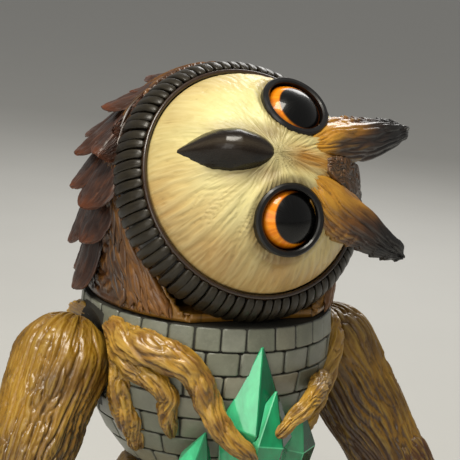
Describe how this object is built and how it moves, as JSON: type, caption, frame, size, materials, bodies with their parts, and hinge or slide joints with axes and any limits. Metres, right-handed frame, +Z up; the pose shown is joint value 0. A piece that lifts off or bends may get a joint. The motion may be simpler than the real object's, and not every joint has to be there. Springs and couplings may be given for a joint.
{
  "type": "owl figurine",
  "caption": "Free-standing owl figurine with a turning face disc, a turning head on a brick tower body, and swinging wing arms.",
  "frame": {"origin": "on the surface it stands on, under the middle of the figure", "axes": "+Z up, the figure faces -Y, and its own left side is +X"},
  "size_m": [0.1814, 0.108, 0.1884],
  "materials": {
    "tower_resin": "cast resin painted as stone brick, satin clear coat",
    "ochre_resin": "cast resin painted ochre with a dark wash, glossy",
    "russet_resin": "cast resin painted red-brown with a dark wash, glossy",
    "umber_resin": "cast resin painted dark umber, glossy",
    "cream_resin": "cast resin painted cream and ochre, satin",
    "horn_resin": "cast resin painted near black, glossy",
    "emerald_resin": "translucent green cast resin, glossy",
    "iris_paint": "painted amber iris and black pupil",
    "eye_glass": "clear polished",
    "steel": "turned",
    "nylon": "moulded nylon"
  },
  "bodies": {
    "body": {"tower_body": "tower_resin", "neck_bush": "nylon", "wing_bush_right": "nylon", "wing_bush_left": "nylon", "haunches": "ochre_resin", "waist_screw": "steel", "leg_right": "ochre_resin", "leg_left": "ochre_resin", "foot_right": "umber_resin", "foot_left": "umber_resin", "talons_right": "horn_resin", "talons_left": "horn_resin", "tail_feathers": "russet_resin", "roots_right": "ochre_resin", "roots_left": "ochre_resin", "crystal_tall": "emerald_resin", "crystal_front": "emerald_resin", "crystal_left": "emerald_resin", "crystal_right": "emerald_resin", "crystal_small": "emerald_resin"},
    "head": {"head_hood": "russet_resin", "cheek_fur": "ochre_resin", "nape_feathers": "russet_resin", "neck_post": "nylon", "neck_clip": "steel", "ribbed_ruff": "umber_resin", "ruff_lip": "umber_resin", "face_bush": "nylon"},
    "face": {"face_mask": "cream_resin", "face_hub": "nylon", "face_axle": "steel", "face_clip": "steel", "beak": "horn_resin", "crown_patch": "russet_resin", "brow_tuft_right": "ochre_resin", "brow_tuft_left": "ochre_resin", "eye_rim_right": "horn_resin", "eye_rim_left": "horn_resin", "eye_iris_right": "iris_paint", "eye_iris_left": "iris_paint", "eye_glass_right": "eye_glass", "eye_glass_left": "eye_glass"},
    "wing_right": {"wing_arm_right": "ochre_resin", "wing_forearm_right": "russet_resin", "wing_coverts_right": "russet_resin", "wing_secondaries_right": "russet_resin", "wing_primaries_right": "russet_resin", "wing_axle_right": "steel", "wing_clip_right": "steel"},
    "wing_left": {"wing_arm_left": "ochre_resin", "wing_forearm_left": "russet_resin", "wing_coverts_left": "russet_resin", "wing_secondaries_left": "russet_resin", "wing_primaries_left": "russet_resin", "wing_axle_left": "steel", "wing_clip_left": "steel"}
  },
  "joints": [
    {"name": "head_turn", "type": "hinge", "parent": "body", "child": "head", "pos_m": [0, 0, 0.116], "axis": [0, 0, 1], "continuous": true},
    {"name": "face_spin", "type": "hinge", "parent": "head", "child": "face", "pos_m": [0, -0.0235, 0.1565], "axis": [0, -0.8829, 0.4695], "continuous": true},
    {"name": "wing_swing_right", "type": "hinge", "parent": "body", "child": "wing_right", "pos_m": [-0.0475, 0, 0.096], "axis": [1, 0, 0], "range_deg": [-60, 45]},
    {"name": "wing_swing_left", "type": "hinge", "parent": "body", "child": "wing_left", "pos_m": [0.0475, 0, 0.096], "axis": [1, 0, 0], "range_deg": [-60, 45]}
  ]
}
